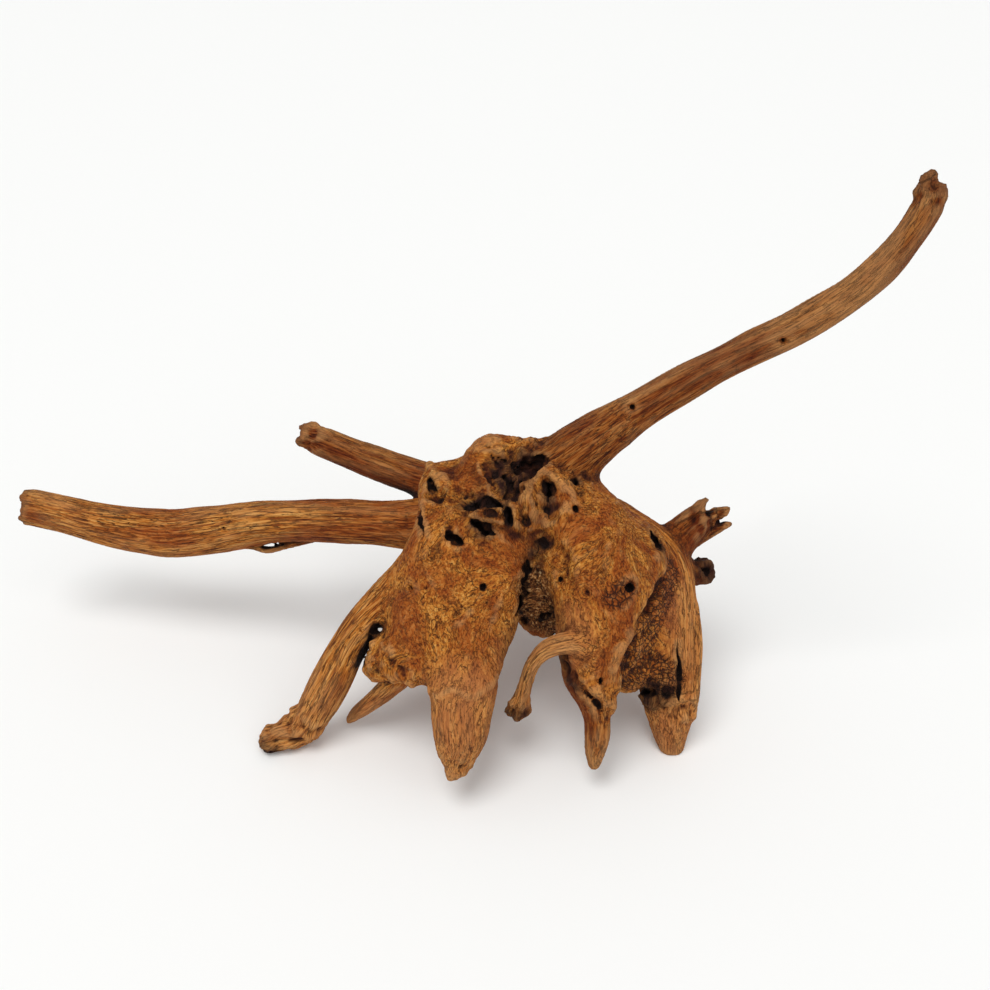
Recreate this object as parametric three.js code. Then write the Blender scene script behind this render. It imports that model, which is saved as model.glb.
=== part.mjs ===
/**
 * Dry root: one grown piece of reddish-brown wood, standing on its own rootlets.
 *
 * A knotty crown carries two long branches to the left, one long branch that rises to the right,
 * a broken stub with three prongs, a short knob, and a skirt of lobes that taper into feet.
 * It is one solid. Its surface is the zero level of a distance field: each limb is a chain of
 * round cones along a smooth curve, limbs melt into one another where they meet, and the hollows
 * are taken out the same way. Millimetres, Z up, the rest plane at Z = 0.
 */
import * as THREE from 'three';
import { edgeTable, triTable } from 'three/addons/objects/MarchingCubes.js';

// Driving dimensions.
const MIDDLE_X = 4; // what is taken off the guide points so that the origin is the box's centre
const MIDDLE_Y = 8.9;
const BODY_CELL = 4.7; // mesh cell in the crown and the lobes
const MIDDLE_CELL = 5.8; // mesh cell in the feet and at the back
const LIMB_CELL = 10; // mesh cell along the long branches
const CURVE_STEP = 6; // length of one straight piece of a limb's curve
const RELAX_ROUNDS = 6;
const WOOD = '#9a5a32';

// Each limb: guide points [x, y, z, radius], and how widely it melts into its neighbours.
// A limb with a broken end is cut square to its last stretch.
const LIMBS = [
	// The crown, where all limbs meet.
	{ blend: 12, points: [ [ 22, 12, 102, 16 ], [ 43, 12, 105, 21 ], [ 66, 14, 103, 18 ] ] },
	{ blend: 8, points: [ [ 23, 25, 110, 6 ], [ 31, 25, 122, 10 ], [ 40, 25, 123, 10 ],
		[ 60, 22, 119, 10 ] ] },
	{ blend: 12, points: [ [ 22, 38, 85, 17 ], [ 50, 40, 89, 20 ], [ 78, 34, 77, 15 ] ] },
	{ blend: 6, points: [ [ 80, 30, 79, 8 ], [ 94, 29, 68, 8 ], [ 106, 26, 61, 8 ] ] },

	// The left lobe, with the burl on its lower corner.
	{ blend: 9, points: [ [ 11, 8, 107, 10 ], [ 8, - 4, 92, 16 ], [ 5, - 14, 73, 20 ],
		[ 1, - 24, 58, 17 ], [ - 5, - 30, 51, 11 ] ] },
	{ blend: 9, points: [ [ 20, 2, 98, 13 ], [ 20, - 14, 78, 16 ], [ 14, - 30, 59, 15 ] ] },
	{ blend: 5, points: [ [ - 11, - 26, 54, 11 ], [ - 19, - 28, 47, 8 ] ] },

	// The middle lobe, which ends in the blunt front foot.
	{ blend: 9, points: [ [ 34, 2, 106, 11 ], [ 36, - 8, 91, 12 ], [ 30, - 22, 74, 13 ],
		[ 23, - 36, 60, 13 ], [ 18, - 46, 48, 13 ] ] },
	{ blend: 5, points: [ [ 18, - 46, 48, 13 ], [ 17, - 53, 40, 13 ], [ 17, - 59, 32, 11 ],
		[ 15, - 64, 22, 7 ] ] },

	// The leg and its toe, and the thin twig behind the leg.
	{ blend: 6, points: [ [ 3, - 2, 86, 11 ], [ - 13, - 8, 72, 10 ], [ - 31, - 16, 56, 8 ],
		[ - 44, - 25, 33, 9 ], [ - 55, - 30, 13, 8 ] ] },
	{ blend: 5, points: [ [ - 58, - 30, 9, 8 ], [ - 67, - 32, 7, 7.5 ], [ - 73, - 33, 4.5, 6.5 ] ] },
	{ blend: 4, points: [ [ - 12, - 28, 38, 5 ], [ - 24, - 25, 23, 4.2 ], [ - 36, - 22, 8, 3.4 ] ] },

	// The big right lobe, the spike under it, the twig that arches off it, the shoulder that carries
	// the lobe over to the flank, and the rotten web between the lobes.
	{ blend: 10, points: [ [ 61, 5, 109, 14 ], [ 75, - 5, 97, 22 ], [ 80, - 14, 79, 24 ],
		[ 79, - 26, 63, 20 ], [ 75, - 34, 50, 13 ] ] },
	{ blend: 5, points: [ [ 74, - 36, 46, 10 ], [ 76, - 44, 41, 8 ], [ 77, - 48, 33, 6 ],
		[ 77, - 52, 27, 5.5 ], [ 76, - 56, 21, 4 ], [ 76, - 58, 16, 2.5 ] ] },
	{ blend: 4, points: [ [ 74, - 36, 63, 7 ], [ 64, - 41, 71, 5 ], [ 55, - 41, 68, 4.4 ],
		[ 49, - 40, 59, 3.8 ], [ 46, - 39, 47, 3.8 ], [ 44, - 38, 36, 4.2 ], [ 43, - 37, 29, 5.5 ] ] },
	{ blend: 10, points: [ [ 93, 0, 88, 16 ], [ 97, - 4, 72, 17 ], [ 97, - 12, 56, 15 ] ] },
	{ blend: 6, points: [ [ 49, 2, 98, 14 ], [ 52, 0, 87, 14 ], [ 52, - 5, 73, 13.5 ],
		[ 53, - 6, 61, 11.5 ] ] },

	// The right flank with its hem, the slab along its edge and the right foot.
	{ blend: 8, points: [ [ 88, 22, 90, 11 ], [ 107, 12, 76, 14 ], [ 113, 0, 62, 13 ],
		[ 113, - 14, 43, 13 ], [ 112, - 22, 26, 12 ] ] },
	{ blend: 6, points: [ [ 105, 2, 54, 13 ], [ 99, - 12, 45, 13 ], [ 92, - 24, 41, 11 ] ] },
	{ blend: 2, points: [ [ 123, - 4, 60, 4 ], [ 123, - 18, 46, 5 ], [ 122, - 28, 28, 4 ],
		[ 120, - 30, 19, 2.5 ] ] },
	{ blend: 5, points: [ [ 113, - 22, 26, 12 ], [ 114, - 27, 16, 10.5 ], [ 114.5, - 32, 7, 7.5 ],
		[ 115, - 34, - 1, 5.5 ] ] },

	// The long branches.
	{ blend: 6, broken: true, points: [ [ 20, 22, 92, 12 ], [ - 1, 30, 84, 12 ], [ - 16, 33, 82, 11 ],
		[ - 37, 38, 80, 11 ], [ - 61, 44, 76, 11 ], [ - 85, 49, 71, 11 ], [ - 109, 53, 64, 12 ],
		[ - 133, 57, 59, 12 ], [ - 167, 62, 61, 10.5 ], [ - 191, 65, 66, 9.5 ],
		[ - 208, 67, 69, 9 ] ] },
	{ blend: 6, broken: true, points: [ [ 15, 38, 98, 10 ], [ - 3, 50, 96, 9 ], [ - 23, 58, 99, 8.5 ],
		[ - 41, 66, 102, 8 ], [ - 54, 71, 105, 7.5 ], [ - 64, 74, 107, 5.5 ] ] },
	{ blend: 7, broken: true, points: [ [ 57, 18, 121, 13 ], [ 70, 22, 129, 13 ], [ 83, 25, 138, 11 ],
		[ 98, 28, 148, 8.5 ], [ 122, 31, 163, 8 ], [ 142, 33, 174, 7.5 ], [ 162, 36, 183, 7.5 ],
		[ 181, 39, 195, 7.5 ], [ 195, 42, 207, 7.5 ], [ 205, 44, 221, 7 ], [ 211, 46, 233, 6.5 ],
		[ 212, 47, 241, 5.5 ] ] },
	{ blend: 2, points: [ [ 212, 47, 237, 4 ], [ 209, 47, 245, 3 ] ] },

	// The broken stub with its three prongs, and the knob under it.
	{ blend: 5, points: [ [ 108, 16, 70, 11 ], [ 115, 18, 78, 9 ], [ 122, 20, 86, 8 ],
		[ 127, 22, 90, 7 ] ] },
	{ blend: 3, points: [ [ 123, 22, 89, 5 ], [ 129.5, 24, 99, 3.2 ] ] },
	{ blend: 3, points: [ [ 127, 22, 89, 4.5 ], [ 140, 25, 95, 3 ] ] },
	{ blend: 3, points: [ [ 126, 21, 83, 4.5 ], [ 141, 24, 87, 3 ] ] },
	{ blend: 4, points: [ [ 122, 14, 67, 7 ], [ 127, 15, 66, 5.5 ], [ 130, 16, 66, 6 ] ] },

	// Rims and ridges of the crown.
	{ blend: 4, points: [ [ 0, 20, 104, 3 ], [ - 3, 16, 95, 3 ], [ 0, 12, 87, 3 ] ] },
	{ blend: 4, points: [ [ 0, 24, 110, 3.5 ], [ 4, 26, 114, 3.5 ], [ 10, 24, 113, 3 ] ] },
	{ blend: 4, points: [ [ 57, 4, 129, 3 ], [ 62, 1, 125, 3.5 ], [ 63, - 2, 119, 3.5 ],
		[ 60, - 3, 112, 3 ] ] },
	{ blend: 3, points: [ [ 22, 0, 112, 2.5 ], [ 29, 0, 113, 2.5 ], [ 34, - 2, 111, 2.5 ],
		[ 33, - 4, 105, 2.5 ] ] },

	// The two rear feet.
	{ blend: 8, points: [ [ 30, 42, 80, 17 ], [ 22, 64, 45, 12 ], [ 14, 78, 14, 8.5 ],
		[ 12, 81, 4, 7.5 ] ] },
	{ blend: 8, points: [ [ 78, 40, 75, 15 ], [ 92, 58, 42, 11 ], [ 100, 70, 15, 7 ] ] },
];

// Each hollow, in the same form as a limb.
const HOLLOWS = [
	// The rotten cavity of the crown, and the hole inside its ring knob.
	{ blend: 3, points: [ [ 43, 4, 124, 5.5 ], [ 48, 10, 128, 5 ] ] },
	{ blend: 3, points: [ [ 55, 1, 122, 4.5 ], [ 56, - 2, 119, 3.5 ] ] },
	// The crescent under the small ring, the pit beside it, and the holes left of it.
	{ blend: 2, points: [ [ 21, - 4, 107, 2.6 ], [ 26, - 7, 105, 3 ], [ 31, - 10, 104, 2.6 ] ] },
	{ blend: 2, points: [ [ 44, - 6, 114, 2.6 ], [ 48, - 6, 110, 2.8 ] ] },
	{ blend: 2, points: [ [ 5, 12, 116, 3.2 ], [ 6, 6, 111, 3.2 ] ] },
	{ blend: 2, points: [ [ 13, - 9, 104, 3.4 ], [ 17, - 10, 101, 3.4 ] ] },
	// The slit between the left branch and the ridge.
	{ blend: 2, points: [ [ - 6, 20, 101, 2.2 ], [ - 5, 12, 95, 2.2 ] ] },
	// The groove between the middle lobe and the web.
	{ blend: 3, points: [ [ 48, - 13, 92, 2.5 ], [ 45, - 15, 80, 3 ], [ 42, - 17, 68, 3 ] ] },
	// The knot on the big right lobe, and the through slit beside the leg.
	{ blend: 3, points: [ [ 90, - 30, 93, 3.2 ], [ 86, - 34, 89, 3.4 ] ] },
	{ blend: 2, points: [ [ - 19, - 24, 66, 2.4 ], [ - 21, - 15, 56, 2.4 ], [ - 25, - 12, 49, 2.2 ],
		[ - 28, - 15, 42, 2 ] ] },
	// The crack beside the slab of the right flank.
	{ blend: 2, points: [ [ 116, - 20, 58, 2 ], [ 117, - 28, 42, 2.2 ], [ 117, - 34, 27, 2 ] ] },
];

// Smooth union: the smaller of two distances, rounded off over the width k.
function melt( a, b, k ) {

	const h = Math.max( k - Math.abs( a - b ), 0 ) / k;
	return Math.min( a, b ) - h * h * k / 4;

}

// Catmull-Rom curve through the guide points, as a list of short straight pieces.
function curveOf( points ) {

	const first = points[ 0 ].map( ( value, i ) => 2 * value - points[ 1 ][ i ] );
	const last = points.at( - 1 ).map( ( value, i ) => 2 * value - points.at( - 2 )[ i ] );
	const all = [ first, ...points, last ];
	const curve = [];
	for ( let i = 1; i < all.length - 2; i ++ ) {

		const [ a, b, c, d ] = all.slice( i - 1, i + 3 );
		const length = Math.hypot( c[ 0 ] - b[ 0 ], c[ 1 ] - b[ 1 ], c[ 2 ] - b[ 2 ] );
		const pieces = Math.max( 2, Math.floor( length / CURVE_STEP ) + 1 );
		for ( let j = 0; j < pieces; j ++ ) {

			const t = j / pieces;
			curve.push( b.map( ( value, n ) => value + 0.5 * t * ( c[ n ] - a[ n ]
				+ t * ( 2 * a[ n ] - 5 * value + 4 * c[ n ] - d[ n ]
				+ t * ( 3 * value - a[ n ] - 3 * c[ n ] + d[ n ] ) ) ) ) );

		}

	}

	curve.push( points.at( - 1 ) );
	return curve;

}

// A limb or hollow made ready for measuring: its curve, its box and the plane of a broken end.
function prepare( { points, blend, broken = false } ) {

	const curve = curveOf( points );
	const box = new THREE.Box3();
	for ( const [ x, y, z, r ] of curve ) {

		box.expandByPoint( new THREE.Vector3( x - r, y - r, z - r ) );
		box.expandByPoint( new THREE.Vector3( x + r, y + r, z + r ) );

	}

	const end = new THREE.Vector3( ...curve.at( - 1 ) );
	const along = end.clone().sub( new THREE.Vector3( ...curve.at( - 2 ) ) ).normalize();
	return { curve, blend, broken, end, along, box: box.expandByScalar( 2 * blend + 4 ) };

}

// Signed distance from a point to a chain of round cones.
function distanceTo( { curve, broken, end, along }, x, y, z ) {

	let nearest = Infinity;
	for ( let i = 1; i < curve.length; i ++ ) {

		const [ ax, ay, az, ar ] = curve[ i - 1 ];
		const [ bx, by, bz, br ] = curve[ i ];
		const dx = bx - ax;
		const dy = by - ay;
		const dz = bz - az;
		const px = x - ax;
		const py = y - ay;
		const pz = z - az;
		const fraction = ( px * dx + py * dy + pz * dz ) / ( dx * dx + dy * dy + dz * dz );
		const t = Math.min( Math.max( fraction, 0 ), 1 );
		const ex = px - t * dx;
		const ey = py - t * dy;
		const ez = pz - t * dz;
		nearest = Math.min( nearest, Math.sqrt( ex * ex + ey * ey + ez * ez ) - ar - t * ( br - ar ) );

	}

	if ( ! broken ) return nearest;
	const past = ( x - end.x ) * along.x + ( y - end.y ) * along.y + ( z - end.z ) * along.z;
	return - melt( - nearest, - past, 2 );

}

const limbs = LIMBS.map( prepare );
const hollows = HOLLOWS.map( prepare );
const probe = new THREE.Vector3();

// The whole root's field: limbs joined, hollows taken out, everything under the rest plane cut off.
function field( x, y, z ) {

	probe.set( x, y, z );
	let value = 40;
	for ( const limb of limbs ) {

		if ( limb.box.containsPoint( probe ) ) value = melt( value, distanceTo( limb, x, y, z ), limb.blend );

	}

	for ( const hollow of hollows ) {

		if ( hollow.box.containsPoint( probe ) ) {

			value = - melt( - value, distanceTo( hollow, x, y, z ), hollow.blend );

		}

	}

	return Math.max( value, - z );

}

// Grid lines over stretches given as [start, cell size], up to the end value.
function gridLines( stretches, end ) {

	const lines = [];
	stretches.forEach( ( [ start, cell ], i ) => {

		const stop = i + 1 < stretches.length ? stretches[ i + 1 ][ 0 ] : end;
		const cells = Math.ceil( ( stop - start ) / cell );
		for ( let n = 0; n < cells; n ++ ) lines.push( start + ( stop - start ) * n / cells );

	} );
	lines.push( end );
	return lines;

}

// The corners of a marching cube, and the two corners that each of its twelve edges joins.
const CORNERS = [
	[ 0, 0, 0 ], [ 1, 0, 0 ], [ 1, 1, 0 ], [ 0, 1, 0 ], [ 0, 0, 1 ], [ 1, 0, 1 ], [ 1, 1, 1 ], [ 0, 1, 1 ],
];
const EDGES = [
	[ 0, 1 ], [ 1, 2 ], [ 2, 3 ], [ 3, 0 ], [ 4, 5 ], [ 5, 6 ],
	[ 6, 7 ], [ 7, 4 ], [ 0, 4 ], [ 1, 5 ], [ 2, 6 ], [ 3, 7 ],
];

// Marching cubes over a grid with uneven spacing: the points and the triangles of the zero level.
function march( xs, ys, zs ) {

	const index = ( i, j, k ) => ( k * ys.length + j ) * xs.length + i;
	const values = new Float64Array( xs.length * ys.length * zs.length );
	for ( let k = 0; k < zs.length; k ++ ) {

		for ( let j = 0; j < ys.length; j ++ ) {

			for ( let i = 0; i < xs.length; i ++ ) {

				const value = field( xs[ i ], ys[ j ], zs[ k ] );
				values[ index( i, j, k ) ] = Math.abs( value ) < 0.01 ? 0.01 : value;

			}

		}

	}

	const points = [];
	const triangles = [];
	const known = new Map();

	function crossing( cell, edge ) {

		const ends = EDGES[ edge ].map( ( corner ) => CORNERS[ corner ] );
		const [ a, b ] = ends.map( ( steps ) => steps.map( ( step, n ) => cell[ n ] + step ) );
		const ia = index( ...a );
		const ib = index( ...b );
		const key = Math.min( ia, ib ) * values.length + Math.max( ia, ib );
		if ( ! known.has( key ) ) {

			const t = values[ ia ] / ( values[ ia ] - values[ ib ] );
			known.set( key, points.length );
			points.push( new THREE.Vector3(
				THREE.MathUtils.lerp( xs[ a[ 0 ] ], xs[ b[ 0 ] ], t ),
				THREE.MathUtils.lerp( ys[ a[ 1 ] ], ys[ b[ 1 ] ], t ),
				THREE.MathUtils.lerp( zs[ a[ 2 ] ], zs[ b[ 2 ] ], t ) ) );

		}

		return known.get( key );

	}

	for ( let k = 0; k < zs.length - 1; k ++ ) {

		for ( let j = 0; j < ys.length - 1; j ++ ) {

			for ( let i = 0; i < xs.length - 1; i ++ ) {

				let kind = 0;
				CORNERS.forEach( ( [ a, b, c ], n ) => {

					if ( values[ index( i + a, j + b, k + c ) ] < 0 ) kind |= 1 << n;

				} );
				if ( edgeTable[ kind ] === 0 ) continue;
				for ( let n = kind * 16; triTable[ n ] !== - 1; n += 3 ) {

					triangles.push( [ 0, 2, 1 ].map( ( m ) => crossing( [ i, j, k ], triTable[ n + m ] ) ) );

				}

			}

		}

	}

	return { points, triangles };

}

// Only the largest connected piece of a mesh: thin tips can leave crumbs between coarse cells.
function largestPiece( { points, triangles } ) {

	const group = points.map( ( point, i ) => i );
	const find = ( i ) => {

		while ( group[ i ] !== i ) i = group[ i ] = group[ group[ i ] ];
		return i;

	};
	for ( const [ a, b, c ] of triangles ) {

		group[ find( b ) ] = find( a );
		group[ find( c ) ] = find( a );

	}

	const sizes = new Map();
	for ( const [ a ] of triangles ) sizes.set( find( a ), ( sizes.get( find( a ) ) ?? 0 ) + 1 );
	const [ biggest ] = [ ...sizes.entries() ].sort( ( a, b ) => b[ 1 ] - a[ 1 ] )[ 0 ];
	const kept = points.map( ( point, i ) => i ).filter( ( i ) => find( i ) === biggest );
	const renumbered = new Map( kept.map( ( old, i ) => [ old, i ] ) );
	return {
		points: kept.map( ( i ) => points[ i ] ),
		triangles: triangles.filter( ( [ a ] ) => renumbered.has( a ) )
			.map( ( corners ) => corners.map( ( i ) => renumbered.get( i ) ) ),
	};

}

// Outward slope of the field.
function slopeAt( { x, y, z } ) {

	const e = 0.4;
	return new THREE.Vector3(
		field( x + e, y, z ) - field( x - e, y, z ),
		field( x, y + e, z ) - field( x, y - e, z ),
		field( x, y, z + e ) - field( x, y, z - e ) ).divideScalar( 2 * e );

}

// Evens out the mesh: each point slides along the surface towards its neighbours' middle. Points on
// the rest plane stay on it.
function relax( { points, triangles } ) {

	const neighbours = points.map( () => new Set() );
	for ( const [ a, b, c ] of triangles ) {

		neighbours[ a ].add( b ).add( c );
		neighbours[ b ].add( a ).add( c );
		neighbours[ c ].add( a ).add( b );

	}

	for ( let round = 0; round < RELAX_ROUNDS; round ++ ) {

		const moves = points.map( ( point, i ) => {

			const move = new THREE.Vector3();
			neighbours[ i ].forEach( ( other ) => move.add( points[ other ] ) );
			return move.divideScalar( neighbours[ i ].size ).sub( point ).multiplyScalar( 0.5 );

		} );
		points.forEach( ( point, i ) => {

			if ( point.z < 0.01 ) {

				point.add( moves[ i ].setZ( 0 ) );
				return;

			}

			const outward = slopeAt( point ).normalize();
			point.add( moves[ i ].addScaledVector( outward, - moves[ i ].dot( outward ) ) );
			const slope = slopeAt( point );
			const steep = Math.max( slope.lengthSq(), 0.25 );
			const back = THREE.MathUtils.clamp( field( point.x, point.y, point.z ) / steep, - 1, 1 );
			point.addScaledVector( slope, - back );
			point.z = Math.max( point.z, 0.02 );

		} );

	}

}

function buildGeometry() {

	const xs = gridLines( [ [ - 218, LIMB_CELL ], [ - 82, MIDDLE_CELL ], [ - 26, BODY_CELL ],
		[ 132, MIDDLE_CELL ], [ 150, LIMB_CELL ], [ 200, BODY_CELL ] ], 226 );
	const ys = gridLines( [ [ - 78, BODY_CELL ], [ 22, MIDDLE_CELL ] ], 98 );
	const zs = gridLines( [ [ - 5, MIDDLE_CELL ], [ 0.8, MIDDLE_CELL ], [ 34, BODY_CELL ], [ 134, LIMB_CELL ],
		[ 228, BODY_CELL ] ], 254 );
	const mesh = largestPiece( march( xs, ys, zs ) );
	relax( mesh );
	const geometry = new THREE.BufferGeometry().setFromPoints( mesh.points );
	geometry.setIndex( mesh.triangles.flat() );
	geometry.computeVertexNormals();
	return geometry;

}

const root = new THREE.Mesh(
	buildGeometry(),
	new THREE.MeshStandardMaterial( { color: WOOD, roughness: 0.85, metalness: 0 } ),
);
root.name = 'dry_root';
root.position.set( - MIDDLE_X, - MIDDLE_Y, 0 );

const group = new THREE.Group();
group.name = 'dry_root_part';
group.add( root );

export default group;
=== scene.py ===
# %% [markdown]
# # A dry root in cells
# The object is one piece of dead, dry, reddish-brown wood that grew as one body. It stands on a few
# rootlets, two branches reach left, one rises to the right, and the crown is half rotten. The packed
# model is loaded first, because everything built here has to stay on it. Lengths are written in
# millimetres and turned into Blender's metres in one place.

# %% Load the frame
import math
import bpy
import numpy as np
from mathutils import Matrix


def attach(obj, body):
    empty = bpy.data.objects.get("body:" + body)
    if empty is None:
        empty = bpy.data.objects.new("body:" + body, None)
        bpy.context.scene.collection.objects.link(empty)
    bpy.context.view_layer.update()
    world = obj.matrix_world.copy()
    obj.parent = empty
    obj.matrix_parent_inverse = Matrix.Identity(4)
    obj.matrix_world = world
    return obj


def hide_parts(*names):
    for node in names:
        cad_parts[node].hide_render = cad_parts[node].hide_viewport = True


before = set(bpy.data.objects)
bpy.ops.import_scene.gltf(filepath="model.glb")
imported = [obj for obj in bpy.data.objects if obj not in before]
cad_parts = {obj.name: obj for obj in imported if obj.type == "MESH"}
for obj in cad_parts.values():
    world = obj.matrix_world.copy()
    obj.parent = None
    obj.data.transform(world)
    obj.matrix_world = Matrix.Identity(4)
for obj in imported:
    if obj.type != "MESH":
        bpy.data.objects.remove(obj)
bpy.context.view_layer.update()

MM = 0.001
NODE = "dry_root"
MIDDLE = np.array([4.0, 8.9, 0.0])   # guide points are written off-centre by this much

# %% [markdown]
# ## The camera
# The photograph looks down on the root at about 33 degrees from table height plus 385 mm, with a
# moderately long lens. The camera comes first, because the detail is judged from there.

# %% Camera
CAMERA_PLACE = np.array([32.0, -400.0, 385.0]) - MIDDLE
PITCH_DOWN = 33.5
LENS = 40.0
SENSOR = 36.0
camera_data = bpy.data.cameras.new("camera")
camera_data.lens = LENS
camera_data.sensor_width = SENSOR
camera = bpy.data.objects.new("camera", camera_data)
camera.location = CAMERA_PLACE * MM
camera.rotation_euler = (math.radians(90 - PITCH_DOWN), 0, 0)
bpy.context.scene.collection.objects.link(camera)
bpy.context.scene.camera = camera

FRAME_SIDE = 990   # pixels of the picture in which the rims and the holes are placed
FOCAL = FRAME_SIDE * LENS / SENSOR


def ray(u, v):
    """Direction of the camera's ray through a place of the picture, from its upper left corner."""
    across = (u - FRAME_SIDE / 2) / FOCAL
    up = (FRAME_SIDE / 2 - v) / FOCAL
    tilt = math.radians(PITCH_DOWN)
    away = math.cos(tilt) + up * math.sin(tilt)
    direction = np.array([across, away, up * math.cos(tilt) - math.sin(tilt)])
    return direction / np.linalg.norm(direction)


print("one pixel covers", round(np.linalg.norm(CAMERA_PLACE) / FOCAL, 2), "mm at the root")

# %% [markdown]
# ## The limbs
# A root thickens where it carries load and tapers towards its tips, so each limb is a chain of
# guide points: a place and a radius. Sculpting by hand would be quicker, but a list of points can be
# measured and corrected limb by limb. The places are the ones of the solid model, with a few ragged
# bits added that it leaves out. The first number says how widely a limb melts into its neighbours.

# %% Guide points of the limbs
# name: (blend, [(x, y, z, radius), ...])
LIMBS = {
    "crown": (12, [(22, 12, 102, 16), (43, 12, 105, 21), (66, 14, 103, 18)]),
    "hump": (8, [(20, 26, 111, 8), (30, 25, 122, 11), (40, 25, 123, 10.5), (60, 22, 119, 10)]),
    "collar": (5, [(9, 6, 105, 9), (7, 16, 107, 8.5), (6, 26, 109, 9), (14, 32, 109, 8),
                   (24, 33, 112, 8)]),
    "back": (12, [(22, 38, 85, 17), (50, 40, 89, 20), (78, 34, 77, 15)]),
    "back_plate": (6, [(80, 30, 79, 8), (94, 29, 68, 8), (106, 26, 61, 8)]),
    "left_lobe": (9, [(11, 8, 107, 10), (8, -4, 92, 16), (5, -14, 73, 20), (1, -24, 58, 17),
                      (-5, -30, 51, 11)]),
    "left_fill": (9, [(20, 2, 98, 13), (20, -14, 78, 16), (14, -30, 59, 15)]),
    "burl": (5, [(-11, -26, 54, 11), (-19, -28, 47, 8)]),
    "middle_lobe": (9, [(34, 2, 106, 11), (36, -8, 91, 12), (30, -22, 74, 13), (23, -36, 60, 13),
                        (18, -46, 48, 13)]),
    "front_foot": (5, [(18, -46, 48, 13), (17, -53, 40, 13), (17, -59, 32, 11), (15, -64, 22, 7)]),
    "leg": (6, [(3, -2, 86, 11), (-13, -8, 72, 10), (-31, -16, 56, 8), (-44, -25, 33, 9),
                (-55, -30, 13, 8)]),
    "toe": (5, [(-58, -30, 9, 8), (-67, -32, 7, 7.5), (-73, -33, 4.5, 6.5)]),
    "left_twig": (4, [(-12, -28, 38, 5), (-24, -25, 23, 4.2), (-33, -22.8, 12, 3.2),
                      (-37.5, -21.8, 6, 1.6)]),
    "big_lobe": (10, [(61, 5, 109, 14), (75, -5, 97, 22), (80, -14, 79, 24), (79, -26, 63, 20),
                      (75, -34, 50, 13)]),
    "spike": (5, [(74, -36, 46, 10), (76, -44, 41, 8), (77, -48, 33, 6), (77, -52, 27, 5.5),
                  (76, -56, 21, 4), (76, -58, 16, 2.5)]),
    "arched_twig": (4, [(74, -36, 63, 7), (64, -41, 71, 5), (55, -41, 68, 4.4), (49, -40, 59, 3.8),
                        (46, -39, 47, 3.8), (44, -38, 36, 4.4), (43, -37, 29, 6.1)]),
    "shoulder": (10, [(93, 0, 88, 16), (97, -4, 72, 17), (97, -12, 56, 15)]),
    "web": (6, [(49, 2, 98, 14), (52, 0, 87, 14), (52, -5, 73, 13.5), (53, -6, 61, 11.5)]),
    "flank": (8, [(88, 22, 90, 11), (107, 12, 76, 14), (113, 0, 62, 13), (113, -14, 43, 13),
                  (112, -22, 26, 12)]),
    "hem": (6, [(105, 2, 54, 13), (99, -12, 45, 13), (92, -24, 41, 11)]),
    "slab": (2, [(123, -4, 60, 4), (123, -18, 46, 5), (122, -28, 28, 4), (120, -30, 19, 2.5)]),
    "right_foot": (5, [(113, -22, 26, 12), (114, -27, 16, 10.5), (114.5, -32, 7, 7.5),
                       (115, -34, -1, 5.5)]),
    "left_branch": (6, [(20, 22, 92, 12), (-1, 30, 84, 12), (-16, 33, 82, 11), (-37, 38, 80, 11),
                        (-61, 44, 76, 11), (-85, 49, 71, 11), (-109, 53, 64, 12),
                        (-133, 57, 59, 12), (-167, 62, 61, 10.5), (-191, 65, 66, 9.5),
                        (-208, 67, 69, 9)]),
    "shred": (1.5, [(-89, 44, 60, 1.4), (-82, 44, 58, 1.9), (-71, 43, 61.5, 1.9), (-58, 42, 66, 2)]),
    "back_branch": (6, [(15, 38, 98, 10), (-3, 50, 96, 9), (-23, 58, 99, 8.5), (-41, 66, 102, 8),
                        (-54, 71, 105, 7.5), (-64, 74, 107, 5.5)]),
    "right_branch": (7, [(57, 18, 121, 13), (70, 22, 129, 13), (83, 25, 138, 11),
                         (98, 28, 148, 8.5), (122, 31, 163, 8), (142, 33, 174, 7.5),
                         (162, 36, 183, 7.5), (181, 39, 195, 7.5), (195, 42, 207, 7.5),
                         (205, 44, 221, 7), (211, 46, 233, 6.5), (212, 47, 241, 5.5)]),
    "tip_prong": (2, [(212, 47, 237, 4), (209, 47, 245, 2.4)]),
    "stub": (5, [(108, 16, 70, 11), (115, 18, 78, 9), (122, 20, 86, 8), (127, 22, 90, 7)]),
    "splinter": (2, [(118, 20, 84, 7), (127, 22, 89.5, 5.8), (134.5, 24, 92.6, 3.4)]),
    "prong_up": (2, [(112, 19, 80, 7), (121, 22, 91, 4.6), (129.3, 24, 100.5, 2)]),
    "prong_out": (2, [(127, 22, 89, 4.5), (135, 24, 93, 3), (141, 25, 96, 1.6)]),
    "prong_low": (2, [(126, 21, 83, 4.5), (135, 23, 86, 3), (142, 24, 88, 1.6)]),
    "knob": (4, [(122, 14, 67, 7), (127, 15, 66, 5.5), (130, 16, 66, 6)]),
    "rear_foot_a": (8, [(30, 42, 80, 17), (22, 64, 45, 12), (14, 78, 14, 8.5), (12, 81, 4, 7.5)]),
    "rear_foot_b": (8, [(78, 40, 75, 15), (92, 58, 42, 11), (100, 70, 15, 7)]),
}
BROKEN_ENDS = ("left_branch", "back_branch", "right_branch")
LEG_SLIT = [(-19, -24, 66, 1.1), (-21, -15, 56, 1.3), (-25, -12, 49, 1.4), (-28, -15, 42, 1.3)]
print(len(LIMBS), "limbs")

# %% [markdown]
# ## Rims and folds
# The crown and the lobes carry folds round old side roots and rings where branches broke off. Each
# is written as the places in the picture that it runs through, and the scene drops them onto the
# surface below, because that is where the eye compares them. A rim gets a radius and how far it
# stands proud, in millimetres.

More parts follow.
